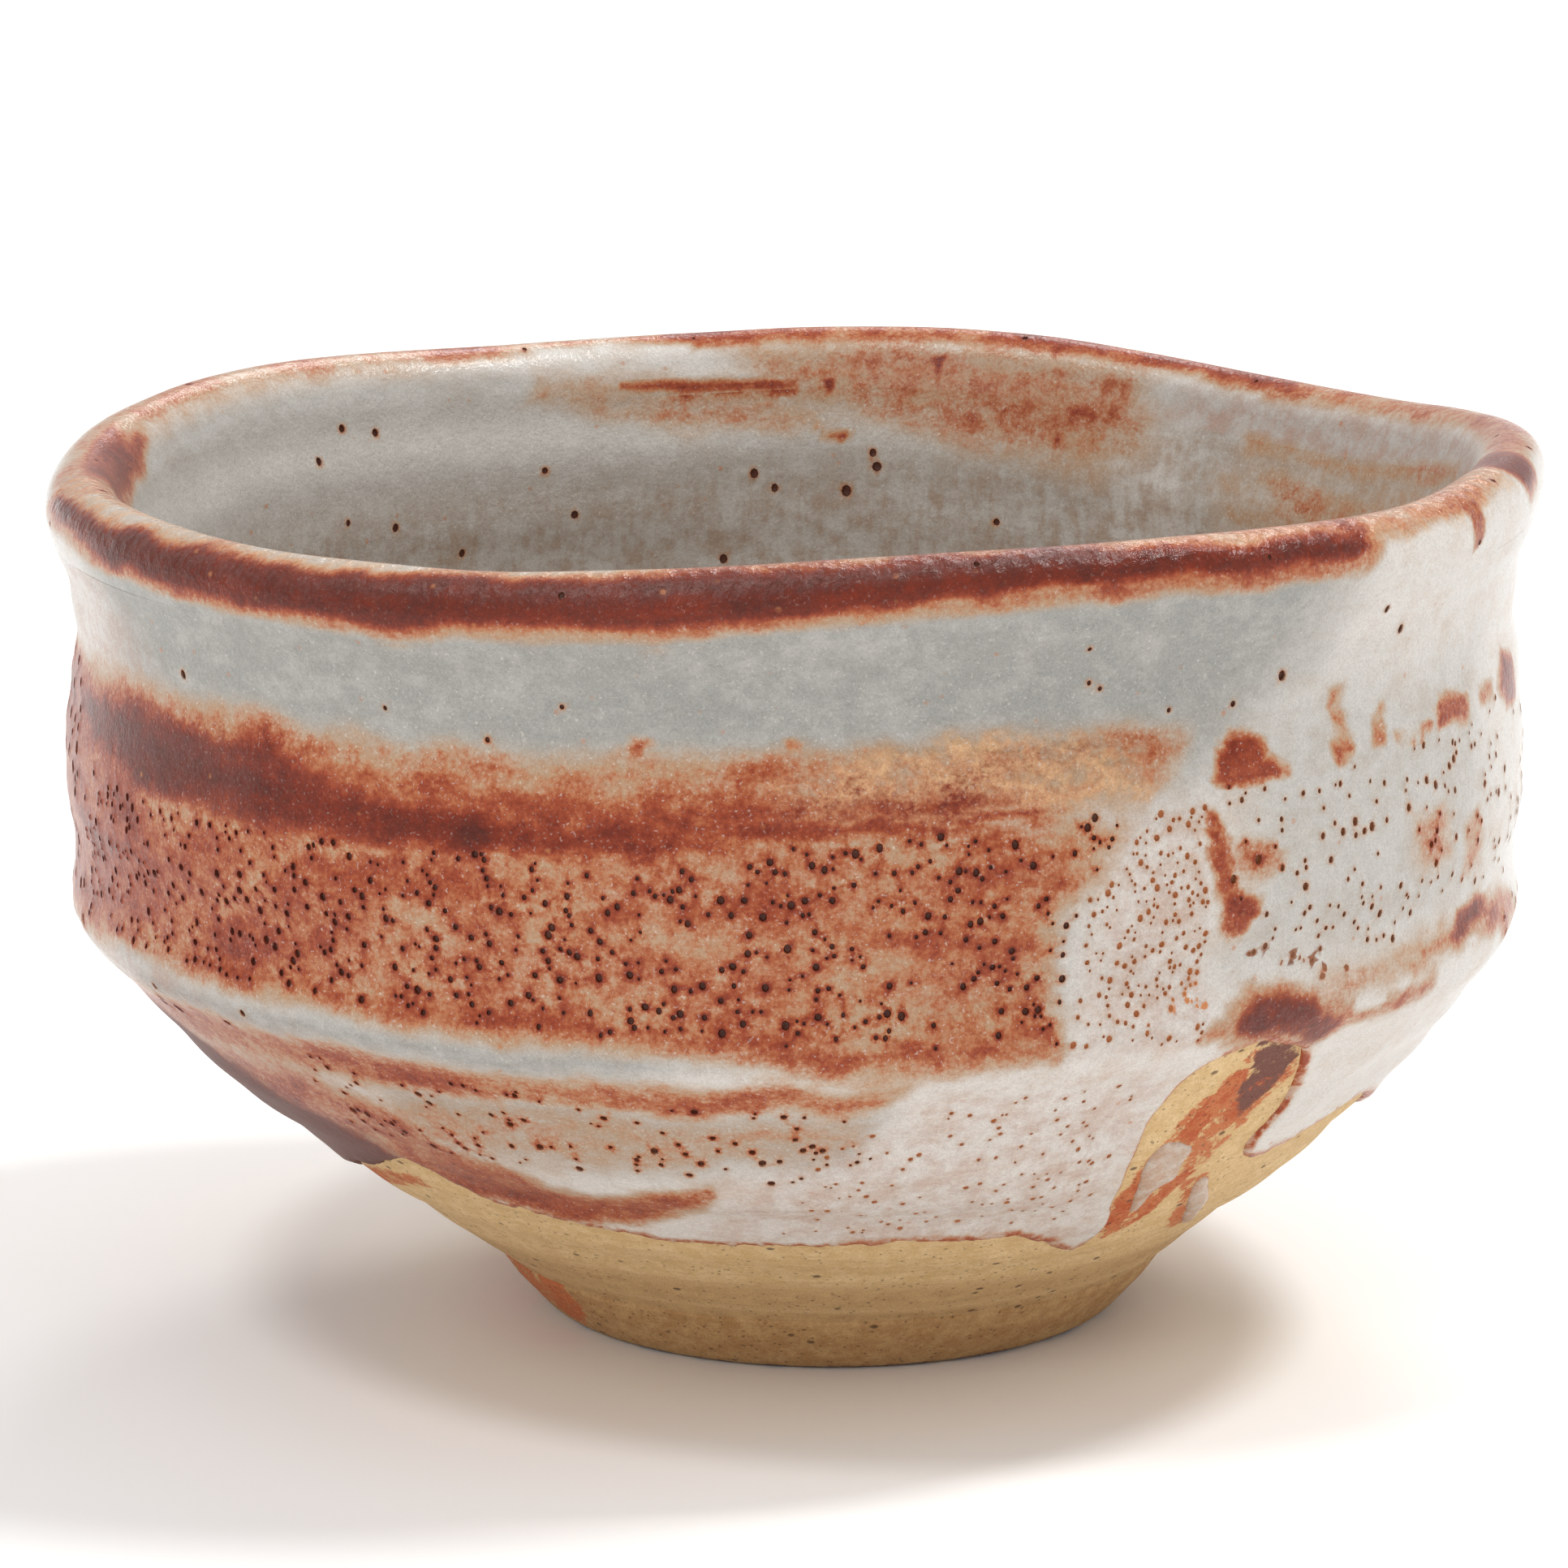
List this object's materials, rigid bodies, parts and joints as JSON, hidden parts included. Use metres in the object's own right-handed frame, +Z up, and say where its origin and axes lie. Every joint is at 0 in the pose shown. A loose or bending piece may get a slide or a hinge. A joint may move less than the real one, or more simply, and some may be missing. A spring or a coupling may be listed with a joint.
{
  "type": "matcha bowl",
  "caption": "Hand-thrown tea bowl with a sharp hip, a waisted wall, a wavy flared lip and a low ring foot, glazed inside and out over bare clay at the base.",
  "frame": {"origin": "centre of the bowl on the plane that the foot stands on", "axes": "+Z up out of the bowl's mouth, the glazed front with the bare notch on its right towards -Y, +X to the right seen from the front"},
  "size_m": [0.1278, 0.1278, 0.0765],
  "materials": {
    "stoneware": "matte",
    "foot_stoneware": "matte",
    "ash_glaze": "satin",
    "inner_ash_glaze": "satin",
    "iron_glaze": "gloss",
    "drop_glaze": "satin"
  },
  "bodies": {
    "root": {"clay_body": "stoneware", "foot_ring": "foot_stoneware", "outer_glaze": "ash_glaze", "inner_glaze": "inner_ash_glaze", "rim_glaze": "iron_glaze", "notch_glaze_drop": "drop_glaze", "trailing_glaze_drop": "drop_glaze", "side_glaze_drop": "drop_glaze"}
  },
  "joints": []
}
